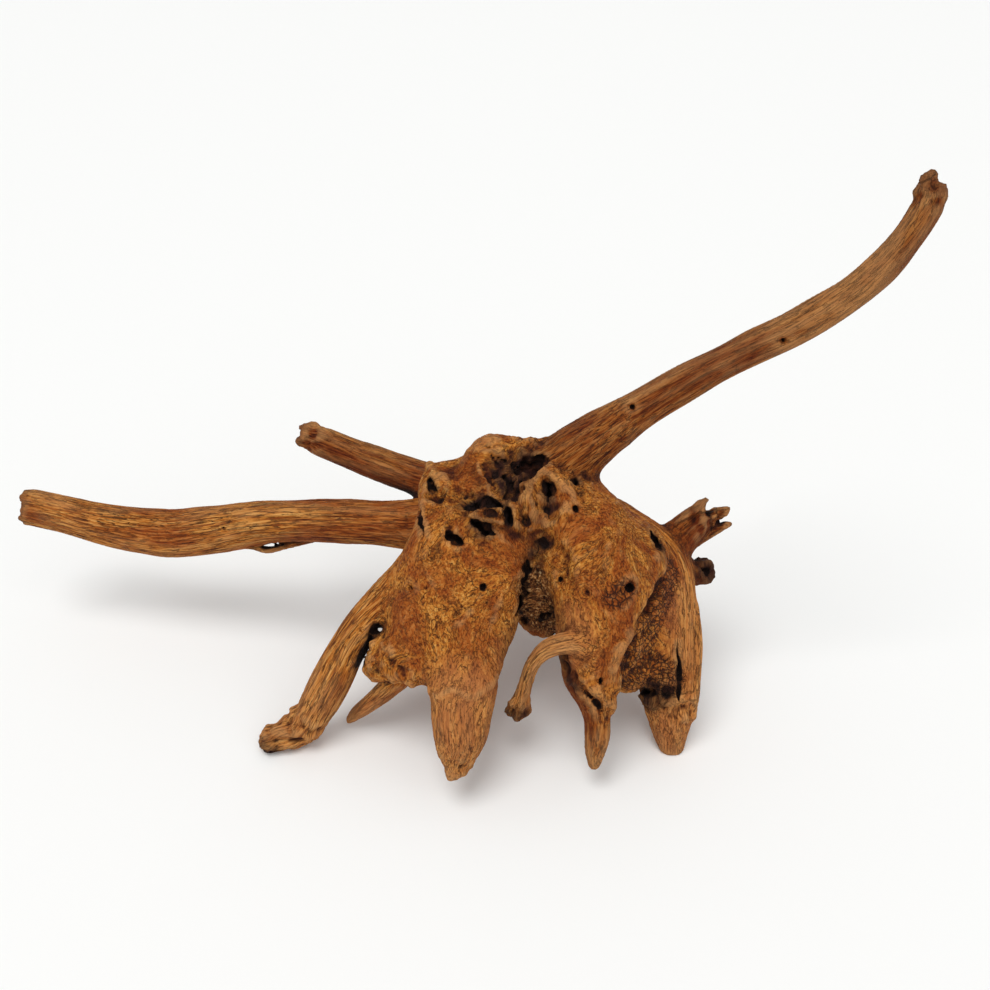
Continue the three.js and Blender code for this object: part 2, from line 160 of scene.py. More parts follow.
# %% Places of the rims
# name: (radius, proud, [(u, v), ...])
RIMS = {
    "lobe_crest": (3.2, 2.4, [(655, 556), (662, 575), (659, 588), (654, 604), (645, 616),
                              (632, 628), (620, 643), (613, 662)]),
    "crest_over_hole": (2.4, 1.8, [(427, 467), (434, 472), (441, 478), (447, 487), (450, 497)]),
    "hole_lip": (1.7, 1.5, [(432, 480), (426, 487), (424, 497), (425, 511), (427, 526), (429, 538)]),
    "cavity_wall": (2.2, 1.7, [(480, 464), (484, 476), (489, 488), (494, 498)]),
    "small_ring": (2.2, 3.4, [(472, 516), (480, 511), (492, 509), (502, 513), (504, 522)]),
    "small_ring_core": (1.5, 2.6, [(480, 519), (490, 520), (499, 523)]),
    "second_ring": (1.9, 2.2, [(514, 508), (513, 518), (518, 527), (528, 530), (537, 526)]),
    "ring_outer": (3.0, 3.8, [(528, 488), (535, 479), (545, 472), (556, 475), (563, 484),
                              (568, 496), (571, 508)]),
    "ring_inner": (2.6, 2.8, [(528, 488), (527, 500), (531, 512), (541, 521), (553, 523), (563, 515)]),
    "hump_bit": (2.4, 1.8, [(513, 441), (517, 441)]),
    "top_bits": (1.8, 1.2, [(525, 441), (530, 443), (536, 442)]),
    "little_ring": (1.5, 1.0, [(583, 487), (586, 483), (590, 486), (586, 490)]),
    "foot_rim": (2.0, 1.1, [(430, 690), (441, 695), (455, 690), (468, 695), (482, 690), (494, 676)]),
    "slab_ridge": (1.7, 0.9, [(689, 616), (688, 650), (690, 682)]),
    "flap_left": (2.6, 2.4, [(573, 660), (589, 683), (606, 705)]),
    "flap_middle": (3.4, 2.6, [(590, 666), (601, 686), (609, 705)]),
    "flap_right": (3.2, 2.0, [(612, 664), (612, 688), (611, 706)]),
    "ring_knot": (1.5, 1.2, [(588, 665), (594, 660), (601, 662), (600, 667), (592, 669), (588, 665)]),
    "knot_rim": (2.0, 1.0, [(609, 600), (616, 585), (628, 577), (635, 585), (630, 598), (618, 606)]),
    "web_rim": (2.2, 1.0, [(533, 634), (545, 633), (556, 628)]),
    "diagonal": (2.2, 0.7, [(446, 634), (462, 622), (474, 606), (486, 590)]),
    "furrow_ridge": (1.8, 0.7, [(501, 575), (499, 592), (495, 610), (488, 630)]),
}
print(len(RIMS), "rims")

# %% [markdown]
# ## Holes, pits and dips
# Rot and broken side roots left holes, creases and dimples. They are written in the same way as the
# rims, with a radius and a depth. A dip is wide and shallow and is made first, so that rims and
# holes follow it.

# %% Places of the holes and the dips
# name: (radius, depth, [(u, v), ...])
HOLES = {
    "left_hole": (3.5, 9, [(431, 481), (434, 491), (438, 503)]),
    "diamond": (3.2, 7, [(449, 529), (456, 537), (462, 544)]),
    "crescent": (2.2, 7, [(471, 518), (477, 526), (486, 531), (497, 533)]),
    "over_small_ring": (1.9, 5, [(469, 512), (477, 506), (490, 503), (503, 507)]),
    "gap": (2.2, 7, [(508, 506), (509, 516), (509, 525)]),
    "second_hollow": (2.4, 5, [(524, 517), (530, 521)]),
    "ring_hollow": (3.4, 7, [(545, 484), (548, 491), (550, 499)]),
    "cavity": (4.6, 9, [(519, 465), (530, 467), (540, 465)]),
    "dark_zone": (3.2, 3.5, [(503, 476), (509, 487), (515, 495), (523, 482)]),
    "small_ring_gap": (0.8, 1.6, [(480, 516), (490, 514), (500, 518)]),
    "saddle_pit": (1.4, 2.5, [(464, 496), (467, 499)]),
    "hump_slit": (1.3, 3, [(486, 449), (496, 447)]),
    "hump_line": (1.3, 3, [(498, 458), (505, 461), (512, 460)]),
    "pit_by_little_ring": (2.0, 5, [(574, 480), (577, 486)]),
    "pit_by_ring": (1.8, 5, [(573, 507), (577, 513)]),
    "three_cornered_mark": (1.1, 1.2, [(543, 537), (540, 546), (534, 556)]),
    "ring_crease_a": (0.9, 2, [(547, 499), (549, 511), (551, 522)]),
    "ring_crease_b": (0.8, 1.6, [(536, 486), (534, 498), (538, 511)]),
    "crown_crease_a": (0.9, 2, [(481, 463), (487, 474), (493, 485), (497, 494)]),
    "crown_crease_b": (0.9, 2, [(490, 455), (497, 465), (506, 471)]),
    "crown_crease_c": (0.9, 2, [(516, 478), (523, 487), (524, 499)]),
    "cleft": (2.3, 6, [(527, 558), (524, 578), (519, 600), (514, 618)]),
    "cleft_foot": (2.6, 5, [(521, 596), (518, 609)]),
    "web_pit_a": (2.4, 4, [(524, 586), (527, 594)]),
    "web_pit_b": (2.2, 4, [(541, 616), (552, 614)]),
    "web_pit_c": (1.8, 3, [(520, 618), (530, 622)]),
    "lobe_pit": (1.2, 4, [(484, 582), (483, 589)]),
    "small_pit": (1.2, 3, [(559, 577), (562, 580)]),
    "knot_pit": (1.7, 4, [(628, 587), (631, 588)]),
    "left_slit": (1.6, 6, [(419, 505), (421, 519), (425, 535)]),
    "flap_hole": (1.7, 4, [(598, 680), (603, 683)]),
    "flap_gap": (1.3, 3.5, [(582, 687), (594, 701), (605, 711)]),
    "hole_under_stub": (2.1, 5, [(650, 531), (656, 541), (662, 553)]),
    "slab_crack": (0.9, 4, [(675, 633), (677, 655), (679, 678), (678, 702)]),
    "cross_crack": (1.0, 3, [(661, 691), (670, 690), (679, 691)]),
    "dark_end": (3.0, 5, [(640, 690), (651, 694)]),
    "burl_crack": (1.0, 2, [(397, 664), (402, 672), (408, 682)]),
    "branch_pit_a": (1.4, 3, [(631, 408), (634, 408)]),
    "branch_pit_b": (1.4, 3, [(781, 340), (784, 340)]),
    "branch_pit_c": (1.4, 3, [(131, 524), (135, 524)]),
    "branch_pit_d": (1.4, 3, [(220, 529), (224, 529)]),
    "knob_end": (2.6, 3, [(703, 569), (706, 571)]),
    "slit_top": (2.3, 2.5, [(373, 634), (377, 626), (385, 629)]),
    "slit_low": (1.9, 2.5, [(373, 638), (367, 648), (362, 657)]),
    "crotch": (1.8, 3, [(399, 549), (401, 556)]),
    "leg_knot": (1.4, 1.2, [(359, 630), (363, 634)]),
    "dimple_a": (1.4, 1.4, [(600, 572)]),
    "dimple_b": (1.3, 1.3, [(611, 555)]),
    "dimple_c": (1.6, 1.6, [(586, 592)]),
    "dimple_d": (1.3, 1.3, [(601, 547)]),
    "dimple_e": (1.6, 1.6, [(409, 589)]),
    "dimple_f": (1.4, 1.4, [(424, 589)]),
    "dimple_g": (1.4, 1.4, [(431, 558)]),
    "dimple_h": (1.5, 1.5, [(488, 656)]),
    "dimple_i": (1.4, 1.4, [(471, 446)]),
}
DIPS = {
    "crackled_band": (8, 1.6, [(672, 572), (665, 600), (655, 622), (640, 648), (630, 672)]),
    "saddle": (7, 1.6, [(447, 478), (462, 490), (476, 497)]),
    "right_hollow": (7, 1.8, [(548, 545), (556, 562), (560, 590)]),
    "web_dip": (7, 2.5, [(530, 588), (535, 606), (545, 618)]),
}
print(len(HOLES), "holes and", len(DIPS), "dips")

# %% [markdown]
# ## Measuring distances to a limb
# A Catmull-Rom curve turns the guide points into a smooth path of short straight pieces. The
# distance to the path of round cones gives the surface. Two limbs are joined by a smooth minimum,
# which rounds off the crotch between them as growing wood does. Tubes joined with a boolean would
# leave sharp creases there.

# %% Curves, distances and smooth joins
CURVE_STEP = 3.0   # mm, the longest straight piece


def curve_of(points):
    """Catmull-Rom curve through guide points, as many short pieces with a radius at each joint."""
    p = np.array(points, float)
    p = np.vstack([2 * p[0] - p[1], p, 2 * p[-1] - p[-2]])
    path = []
    for a, b, c, d in zip(p, p[1:], p[2:], p[3:]):
        pieces = max(2, int(np.linalg.norm(c[:3] - b[:3]) / CURVE_STEP) + 1)
        for t in np.arange(pieces) / pieces:
            curl = 2 * a - 5 * b + 4 * c - d + t * (3 * b - a - 3 * c + d)
            path.append(b + 0.5 * t * (c - a + t * curl))
    path.append(p[-2])
    return np.array(path)


def melt(a, b, k):
    """Smooth minimum of two distances, rounded over k millimetres."""
    h = np.maximum(k - np.abs(a - b), 0) / k
    return np.minimum(a, b) - h * h * k / 4


def distance_to(path, x, y, z):
    """Distance of each place to the round cones along a path, negative inside them."""
    nearest = None
    for a, b in zip(path, path[1:]):
        d = b - a
        px, py, pz = x - a[0], y - a[1], z - a[2]
        t = np.clip((px * d[0] + py * d[1] + pz * d[2]) / (d[:3] @ d[:3]), 0, 1)
        aside = np.sqrt((px - t * d[0]) ** 2 + (py - t * d[1]) ** 2 + (pz - t * d[2]) ** 2)
        gap = aside - a[3] - t * d[3]
        nearest = gap if nearest is None else np.minimum(nearest, gap)
    return nearest


PATHS = {name: curve_of(points) for name, (blend, points) in LIMBS.items()}
print("straight pieces in all curves:", sum(len(path) - 1 for path in PATHS.values()))

# %% [markdown]
# ## A noise of the scene's own
# Growth and decay are uneven, so forms, relief and broken ends all need some noise. A lattice of
# seeded random numbers, blended smoothly between its corners, gives the same noise in every run.

# %% Value noise
SEED, SIDE = 11, 32
LATTICE = np.random.default_rng(SEED).random((SIDE, SIDE, SIDE)).astype(np.float32)


def noise(p):
    """Noise from -1 to 1 at each place, with bumps about one unit wide."""
    cell = np.floor(p).astype(int)
    f = p - cell
    f = f * f * (3 - 2 * f)
    total = np.zeros(len(p))
    for i in (0, 1):
        for j in (0, 1):
            for k in (0, 1):
                w = np.abs(1 - i - f[:, 0]) * np.abs(1 - j - f[:, 1]) * np.abs(1 - k - f[:, 2])
                corner = [(cell[:, n] + step) % SIDE for n, step in enumerate((i, j, k))]
                total += w * LATTICE[tuple(corner)]
    return total * 2 - 1


def layered(p, octaves=3):
    """Noise with finer and weaker noise on top, each half the size of the one before."""
    return sum(noise(p * 2 ** n + 17.3 * n) / 2 ** n for n in range(octaves))


TRIAL = np.arange(3000).reshape(-1, 3) / 7.3
print("layered noise goes from", layered(TRIAL).min().round(2), "to", layered(TRIAL).max().round(2))

# %% [markdown]
# ## The field on a grid
# The distance field is sampled on a grid: fine round the body, and coarser along the branches in
# the direction in which they run, because their form changes slowly there. Only the part of the
# grid near a limb is touched for that limb. The broken ends are cut by a rough plane.

# %% Fill the grid
FINE = 1.16    # mm between grid lines round the body
BEHIND = 1.7   # at the back, which the photograph doesn't show
ALONG = 2.4    # along the branches
FAR = 30       # mm, a distance beyond every blend
ROUGH_END, ROUGH_SIZE = 2.2, 3.5   # how deep and how wide the splinters of a broken end are
UNEVEN_RIM, UNEVEN_HOLE = 5.0, 3.6   # width of the bumps on rims and in holes


def lines(stretches, end):
    """Places of the grid lines on one axis, from stretches of (start, distance between lines)."""
    edges = []
    for (start, cell), (stop, _) in zip(stretches, stretches[1:] + [(end, 0)]):
        edges.append(np.linspace(start, stop, int(math.ceil((stop - start) / cell)), endpoint=False))
    return np.concatenate(edges + [[end]])


AXES = [
    lines([(-218, FINE), (-200, ALONG), (-80, FINE), (148, ALONG), (200, FINE)], 222),
    lines([(-78, FINE), (24, BEHIND)], 96),
    lines([(-3, FINE)], 252),
]
field = np.full([len(a) for a in AXES], FAR, np.float32)


def near(path, margin):
    """The part of the grid round a path, as slices and as its coordinates."""
    low = (path[:, :3] - path[:, 3:]).min(0) - margin
    high = (path[:, :3] + path[:, 3:]).max(0) + margin
    spans = [slice(*np.searchsorted(a, (lo, hi))) for a, lo, hi in zip(AXES, low, high)]
    parts = [a[s].astype(np.float32) for a, s in zip(AXES, spans)]
    x, y, z = np.meshgrid(*parts, indexing="ij", sparse=True)
    return tuple(spans), x, y, z


def bent(x, y, z, amount, size):
    """The same grid places, moved about by noise, so that what is measured there comes out uneven."""
    x, y, z = np.broadcast_arrays(x, y, z)
    places = np.stack([x.ravel(), y.ravel(), z.ravel()], 1) / size
    bends = [layered(places + 31.7 * n, 2).reshape(x.shape) for n in range(3)]
    return [c + amount * bend for c, bend in zip((x, y, z), bends)]


def grow(path, blend, broken=False, uneven=0.0):
    """Add a limb or a rim to the field. A broken one ends at a rough plane instead of a ball."""
    spans, x, y, z = near(path, 2 * blend + 4)
    places = bent(x, y, z, uneven, UNEVEN_RIM) if uneven else (x, y, z)
    gap = distance_to(path, *places)
    if broken:
        end = path[-1]
        along = (path[-1] - path[-2])[:3]
        along = along / np.linalg.norm(along)
        past = (x - end[0]) * along[0] + (y - end[1]) * along[1] + (z - end[2]) * along[2]
        places = np.stack([c.ravel() for c in np.broadcast_arrays(x, y, z)], 1)
        past = past + ROUGH_END * layered(places / ROUGH_SIZE).reshape(past.shape)
        gap = -melt(-gap, -past, 1.0)
    field[spans] = melt(field[spans], gap, blend)


def carve(path, blend, uneven):
    """Take a hollow out of the field."""
    spans, x, y, z = near(path, blend + 3)
    gap = distance_to(path, *bent(x, y, z, uneven, UNEVEN_HOLE))
    field[spans] = -melt(-field[spans], gap, blend)


for name, (blend, points) in LIMBS.items():
    grow(PATHS[name], blend, name in BROKEN_ENDS)
carve(curve_of(LEG_SLIT), 1.5, 0.6)
print("grid", field.shape)

# %% [markdown]
# ## Dropping places of the picture onto the surface
# A ray leaves the camera through each place and is followed until the field turns negative. That
# point lies on the wood, so a rim or a hole sits on what carries it, seen from any side. A ray that
# just misses the wood gives the point where it passes closest.

# %% Find the spots


def look_up(p):
    """The field at any place, blended between the eight grid points round it."""
    index = [np.interp(p[:, n], AXES[n], np.arange(len(AXES[n]))) for n in range(3)]
    cell = [np.clip(i.astype(int), 0, field.shape[n] - 2) for n, i in enumerate(index)]
    f = [i - c for i, c in zip(index, cell)]
    total = np.zeros(len(p))
    for i in (0, 1):
        for j in (0, 1):
            for k in (0, 1):
                w = np.abs(1 - i - f[0]) * np.abs(1 - j - f[1]) * np.abs(1 - k - f[2])
                total += w * field[cell[0] + i, cell[1] + j, cell[2] + k]
    return total


CAMERA_IN_GUIDE = CAMERA_PLACE + MIDDLE
RAY_START, RAY_END, RAY_STEP = 360.0, 640.0, 0.5   # mm from the camera
STEEPEST = 0.6   # mm of depth for one pixel of the picture


def depth_at(u, v):
    """How far from the camera the wood lies behind a place of the picture."""
    steps = np.arange(RAY_START, RAY_END, RAY_STEP)
    values = look_up(CAMERA_IN_GUIDE + steps[:, None] * ray(u, v))
    hits = np.flatnonzero(values < 0)
    if len(hits) == 0:
        return steps[values.argmin()]
    n = hits[0]
    return steps[n] - RAY_STEP * values[n] / (values[n] - values[n - 1])


def spot(u, v):
    """The place on the wood that the picture shows there."""
    return CAMERA_IN_GUIDE + depth_at(u, v) * ray(u, v)


def trail(places, radius, sink):
    """Path through places of the picture, sunk below the surface along the camera's rays.

    From the middle depth outwards, the path may not drop faster than a steep slope, so it never
    leaps across to wood that lies far behind.
    """
    depths = [depth_at(u, v) for u, v in places]
    middle = int(np.argsort(depths)[(len(depths) - 1) // 2])
    for order in (range(middle + 1, len(places)), range(middle - 1, -1, -1)):
        for n in order:
            before = n - 1 if n > middle else n + 1
            most = STEEPEST * math.dist(places[n], places[before]) + 1
            depths[n] = min(max(depths[n], depths[before] - most), depths[before] + most)
    guide = []
    for (u, v), depth in zip(places, depths):
        guide.append([*(CAMERA_IN_GUIDE + (depth + sink) * ray(u, v)), radius])
    if len(guide) == 1:
        guide.append([guide[0][0] + 0.5, *guide[0][1:]])
    return curve_of(guide)


print("the first rim starts at, mm:", spot(*RIMS["lobe_crest"][2][0]).round(1))

# %% [markdown]
# ## Dips, rims and holes, in that order
# A fold of living wood thins out at both ends, so every path is pinched there. A hole is cut in
# several steps along the camera's rays, narrower the deeper it gets, as rot leaves it. The table cuts
# the feet flat.

# %% Grow the rims and cut the holes


def pinched(path, by):
    """The same path, thinner towards both ends."""
    path = path.copy()
    path[:, 3] *= 1 - by * np.abs(np.linspace(-1, 1, len(path))) ** 1.5
    return path


dip_paths = [trail(places, radius, depth - radius) for radius, depth, places in DIPS.values()]
for path in dip_paths:
    carve(pinched(path, 0.4), 3.0, 0.8)
rim_paths = {}
for name, (radius, proud, places) in RIMS.items():
    rim_paths[name] = trail(places, radius, radius - proud)
for name, path in rim_paths.items():
    radius = RIMS[name][0]
    grow(pinched(path, 0.3), 1.1 * radius, uneven=0.42 * radius)
hole_paths = {}
for name, (radius, depth, places) in HOLES.items():
    for sink in np.arange(0, depth, radius):
        narrowed = radius * (1 - 0.4 * sink / depth)
        hole_paths[name, float(sink)] = trail(places, narrowed, sink)
for (name, sink), path in hole_paths.items():
    radius = HOLES[name][0]
    carve(pinched(path, 0.6), 0.5 * radius, 0.6 * radius)
field = np.maximum(field, -AXES[2].astype(np.float32)[None, None, :])
print(len(rim_paths), "rims grown and", len(hole_paths), "cuts made")

# %% [markdown]
# ## From field to surface
# Surface nets put one point in each grid cell that the surface crosses and join them with quads.
# That gives even, mostly square faces, which shade better than the slivers of marching cubes.

# %% Surface nets


def surface_nets(values, axes):
    """Points and quads of the surface where the values turn negative."""
    inside = values < 0
    size = np.array(values.shape)
    corners = np.array([(i, j, k) for i in (0, 1) for j in (0, 1) for k in (0, 1)])
    cut = size - 1
    count = np.zeros(cut, np.int8)
    for i, j, k in corners:
        count += inside[i:cut[0] + i, j:cut[1] + j, k:cut[2] + k]
    crossed = (count > 0) & (count < 8)
    cells = np.argwhere(crossed)
    number = np.full(crossed.shape, -1)
    number[crossed] = np.arange(len(cells))
    at = [values[tuple((cells + c).T)] for c in corners]
    total = np.zeros((len(cells), 3))
    hits = np.zeros(len(cells))
    for a in range(8):
        for b in range(a + 1, 8):
            if np.abs(corners[a] - corners[b]).sum() != 1:
                continue
            m = (at[a] < 0) != (at[b] < 0)
            t = at[a][m] / (at[a][m] - at[b][m])
            total[m] += corners[a] + (corners[b] - corners[a]) * t[:, None]
            hits[m] += 1
    index = cells + total / hits[:, None]
    points = np.stack([np.interp(index[:, n], np.arange(size[n]), axes[n]) for n in range(3)], 1)
    quads = []
    for n in range(3):
        o, p = [m for m in range(3) if m != n]
        low = np.take(inside, range(size[n] - 1), n)
        high = np.take(inside, range(1, size[n]), n)
        edges = np.argwhere(low != high)
        beside = edges[:, [o, p]]
        edges = edges[((beside > 0) & (beside < size[[o, p]] - 1)).all(1)]
        starts = low[tuple(edges.T)]
        ring = []
        for d, e in ((-1, -1), (0, -1), (0, 0), (-1, 0)):
            cell = edges.copy()
            cell[:, o] += d
            cell[:, p] += e
            ring.append(number[tuple(cell.T)])
        quad = np.stack(ring, 1)
        turn = starts if n == 1 else ~starts
        quad[turn] = quad[turn][:, ::-1]
        quads.append(quad)
    return points, np.vstack(quads)


def biggest_piece(points, quads):
    """Leave out the crumbs that the cuts have freed.

    Quads that share an edge pass on their lowest label, until each piece has one label.
    """
    edges = np.sort(np.stack([quads, np.roll(quads, -1, 1)], 2), 2).reshape(-1, 2)
    code = edges[:, 0] * len(points) + edges[:, 1]
    _, name, count = np.unique(code, return_inverse=True, return_counts=True)
    shared = np.flatnonzero(count[name] == 2)
    start, end = (shared[np.argsort(name[shared])] // 4).reshape(-1, 2).T
    label = np.arange(len(quads))
    while (label[start] != label[end]).any():
        lowest = np.minimum(label[start], label[end])
        np.minimum.at(label, label[start], lowest)
        np.minimum.at(label, label[end], lowest)
        label = label[label]
    keep = label == np.bincount(label).argmax()
    print("crumbs left out:", len(np.unique(label)) - 1)
    used = np.unique(quads[keep])
    number = np.full(len(points), -1)
    number[used] = np.arange(len(used))
    return points[used], number[quads[keep]]


points, quads = biggest_piece(*surface_nets(field, AXES))
points[:, 2] = np.maximum(points[:, 2], 0)


def normals_of(points, quads):
    """Outward direction at each point, averaged over its quads."""
    a, b, c, d = points[quads].transpose(1, 0, 2)
    across = np.cross(c - a, d - b)
    normals = np.zeros_like(points)
    for n in range(4):
        for axis in range(3):
            normals[:, axis] += np.bincount(quads[:, n], across[:, axis], len(points))
    return normals / np.maximum(np.linalg.norm(normals, axis=1, keepdims=True), 1e-9)


normals = normals_of(points, quads)
first, second, third = points[quads[:, :3]].transpose(1, 0, 2)
volume = np.einsum("ij,ij->", np.cross(first, second), third)
print(len(points), "points,", 2 * len(quads), "triangles,", "outward" if volume > 0 else "INWARD")

# %% [markdown]
# ## Grain coordinates
# Wood fibres run along feet, legs and branches. For every surface point the nearest place on such a
# flow gives two offsets across the fibres and one length along them, in a frame that doesn't twist.
# Flows that cross are kept in two families, so that each can fade out where the other begins. The
# crown and the lobes, where the grain swirls, use plain coordinates.

# %% Work out the grain coordinates
SWIRL, ODD, EVEN = 0, 1, 2
SHARE_FADE, SHARE_END = 3.5, 60.0   # mm over which one family fades out, and where it surely has
FLOW_APART = 300   # mm between two flows, so that no pattern shows up twice
BOX_MARGIN = 20   # mm round a limb within which its grain can matter
# (family, limbs in a row that share one flow)
FLOWS = [
    (EVEN, ["left_branch"]), (EVEN, ["leg", "toe"]), (EVEN, ["front_foot"]),
    (EVEN, ["arched_twig"]), (EVEN, ["flank", "right_foot"]), (EVEN, ["rear_foot_b"]),
    (EVEN, ["shred"]), (ODD, ["slab"]), (ODD, ["left_twig"]), (ODD, ["spike"]),
    (ODD, ["right_branch"]), (ODD, ["tip_prong"]), (ODD, ["back_branch"]), (ODD, ["stub"]),
    (ODD, ["splinter"]), (ODD, ["prong_up"]), (ODD, ["prong_out"]), (ODD, ["prong_low"]),
    (ODD, ["rear_foot_a"]),
]


def straightened(path, p):
    """Distance to a flow, and two offsets across it and the length along it."""
    best = np.full(len(p), 1e9)
    out = np.zeros((len(p), 3))
    side = np.cross(path[1, :3] - path[0, :3], (0.3, 0.5, 0.8))
    length = 0.0
    for a, b in zip(path, path[1:]):
        d = b[:3] - a[:3]
        size = np.linalg.norm(d)
        ahead = d / size
        side = side - ahead * (side @ ahead)
        side = side / np.linalg.norm(side)
        other = np.cross(ahead, side)
        q = p - a[:3]
        t = q @ ahead
        on = np.clip(t, 0, size)
        gap = np.linalg.norm(q - on[:, None] * ahead, axis=1) - a[3] - on / size * (b[3] - a[3])
        m = gap < best
        best[m] = gap[m]
        out[m] = np.stack([q[m] @ side, q[m] @ other, length + t[m]], 1)
        length += size
    return best, out


def box_of(path):
    """Numbers of the points near a path."""
    low = (path[:, :3] - path[:, 3:]).min(0) - BOX_MARGIN
    high = (path[:, :3] + path[:, 3:]).max(0) + BOX_MARGIN
    return np.flatnonzero(((points > low) & (points < high)).all(1))


family_gap = np.full((3, len(points)), 1e3)
grain = np.zeros((3, len(points), 3))
for number_of_flow, (family, names) in enumerate(FLOWS):
    path = curve_of([place for name in names for place in LIMBS[name][1]])
    m = box_of(path)
    gap, coords = straightened(path, points[m])
    better = gap < family_gap[family, m]
    family_gap[family, m[better]] = gap[better]
    grain[family, m[better]] = coords[better] + (0, 0, FLOW_APART * number_of_flow)
flowing_limbs = {name for family, names in FLOWS for name in names}
for name in set(LIMBS) - flowing_limbs:
    path = PATHS[name]
    m = box_of(path)
    family_gap[SWIRL, m] = np.minimum(family_gap[SWIRL, m], distance_to(path, *points[m].T))
TURN_BY, TURN_SIZE = 6.0, 19   # mm by which the grain wanders, and over which length
turning = np.stack([noise(points / TURN_SIZE + 8.3 * n) for n in range(3)], 1)
grain[SWIRL] = points + TURN_BY * turning
share = np.exp(-np.clip(family_gap - family_gap.min(0), 0, SHARE_END) / SHARE_FADE)
share /= share.sum(0)
print("share that swirls:", round(float(share[SWIRL].mean()), 2))

# %% [markdown]
# ## Rot, crackle and end grain
# The surface isn't plain wood everywhere: the crown and the web between the lobes are rotten, a band
# on the right lobe is crackled, some feet have dried pale, burls and tips are lumpy, and the old
# broken branches are greyer. Each zone is a list of places in the picture with a radius, because a
# zone has no edge that geometry could follow.

# %% Places of the zones
ROT_AND_SHADE = [
    ([(504, 478), (514, 490), (530, 470)], 7.5),
    ([(546, 486), (550, 498), (549, 512)], 3.5),
    ([(263, 750), (270, 753)], 2.0),
    # painted shade: the shaded left side of the spike, drawn dark as rot
    ([(566, 664), (573, 684)], 1.5),
    # the foot of the arched twig: dark marks on the bulb, and painted shade on its shaded underside
    ([(507, 714), (515, 719), (523, 716)], 1.5),
    ([(508, 515), (528, 520)], 6),
    ([(487, 507), (484, 526)], 4),
    ([(541, 541), (535, 553)], 1.5),
    ([(642, 690), (655, 694)], 5),
    ([(704, 569)], 5),
    ([(484, 503), (471, 508)], 2.5),
    ([(655, 547)], 3),
    ([(575, 484)], 2),
]
WEB = [
    ([(530, 585), (535, 606), (548, 616)], 8),
]
CRACKLE = [
    ([(671, 572), (663, 602), (651, 628)], 6.0),
    ([(645, 636), (640, 655), (638, 675)], 9.5),
    ([(615, 598), (624, 590)], 4),
    ([(655, 670), (668, 680)], 7),
]
PALE = [
    ([(300, 712), (275, 735)], 16),
    ([(520, 700), (530, 660), (560, 640)], 7),
    ([(668, 735), (680, 715)], 13),
    ([(456, 750), (460, 720)], 16),
    ([(686, 600), (692, 660)], 3),
]
LUMPY = [
    ([(378, 660), (395, 675), (372, 676)], 9),
    ([(262, 740), (285, 728), (305, 742)], 9),
    ([(445, 774), (470, 776)], 7),
    ([(515, 440), (535, 440)], 6),
    ([(680, 712), (692, 712)], 5),
    ([(520, 710)], 4),
    ([(712, 516)], 7),
    ([(930, 180)], 8),
    ([(308, 432)], 7),
]
DUSKY = {
    "right_branch": 0.85, "back_branch": 0.65, "stub": 1.0, "splinter": 1.0, "prong_up": 1.0,
    "prong_out": 1.0, "prong_low": 1.0, "knob": 0.9, "spike": 0.65,
}
KNOTS = [(622, 591), (409, 589), (595, 664), (489, 518), (548, 492), (431, 558), (586, 592), (375, 668)]
print(len(ROT_AND_SHADE) + len(WEB) + len(CRACKLE) + len(PALE) + len(LUMPY), "patches and", len(KNOTS), "knots")

# %% [markdown]
# ## From zones to numbers
# Each point of the surface gets one number from 0 to 1 for every kind of zone. It fades over some
# millimetres, because rot and weather have no sharp edge either. The wood on the rims of the crown
# is sound, so rot is held back there.

# %% Work out the zones
RIM_EDGE, RIM_FADE = 0.3, 1.2   # mm from a rim where rot comes back, and over how much
DUSKY_END, DUSKY_FADE = 5.2, 4.0   # mm from a grey limb
KNOT_END = 30.0   # mm, beyond every growth ring that is drawn
END_REACH, END_START, END_FADE = 14.0, 3.5, 3.0   # mm round, before and into a broken end


def zone(parts, soft):
    """How much each point belongs to a zone that fades over soft millimetres."""
    total = np.zeros(len(points))
    for places, radius in parts:
        gap = distance_to(trail(places, radius, 0), *points.T)
        total = np.maximum(total, np.clip(1 - gap / soft, 0, 1))
    return total


rot_and_shade = zone(ROT_AND_SHADE, 6.0)
crackle = zone(CRACKLE, 2.5)
on_rim = np.zeros(len(points))
for name in ("ring_outer", "ring_inner", "small_ring", "small_ring_core", "second_ring", "cavity_wall"):
    gap = distance_to(rim_paths[name], *points.T)
    on_rim = np.maximum(on_rim, np.clip(1 - (gap - RIM_EDGE) / RIM_FADE, 0, 1))
rot_and_shade = rot_and_shade * (1 - 0.65 * on_rim)
web = zone(WEB, 5.0)
pale = zone(PALE, 14.0)
dusky = np.zeros(len(points))
for name, strength in DUSKY.items():
    gap = distance_to(PATHS[name], *points.T)
    dusky = np.maximum(dusky, strength * np.clip((DUSKY_END - gap) / DUSKY_FADE, 0, 1))
lumpy = zone(LUMPY, 5.0)
knot = np.full(len(points), KNOT_END)
for u, v in KNOTS:
    knot = np.minimum(knot, np.linalg.norm(points - spot(u, v), axis=1))
ends = np.zeros(len(points))
for name in BROKEN_ENDS:
    end = PATHS[name][-1]
    ahead = (PATHS[name][-1] - PATHS[name][-2])[:3]
    past = (points - end[:3]) @ (ahead / np.linalg.norm(ahead))
    close = np.linalg.norm(points - end[:3], axis=1) < END_REACH
    ends = np.maximum(ends, close * np.clip((past + END_START) / END_FADE, 0, 1))
print("rotten share:", round(float((rot_and_shade > 0.5).mean()), 3))
print("crackled share:", round(float((crackle > 0.5).mean()), 3))

# %% [markdown]
# ## Relief
# Worn wood has ridges along its fibres, slow swells across them, crumbs where it is rotten and
# broken flakes at its ends. They are pushed into the mesh along its normals, because a bump in the
# material wouldn't change the outline. Sizes are in millimetres, across the grain twice and along it
# once. A real fibre is much finer than the mesh, so the ridges stand for bundles of fibres and are
# drawn coarser, and the material's bump carries on below about 3 mm.

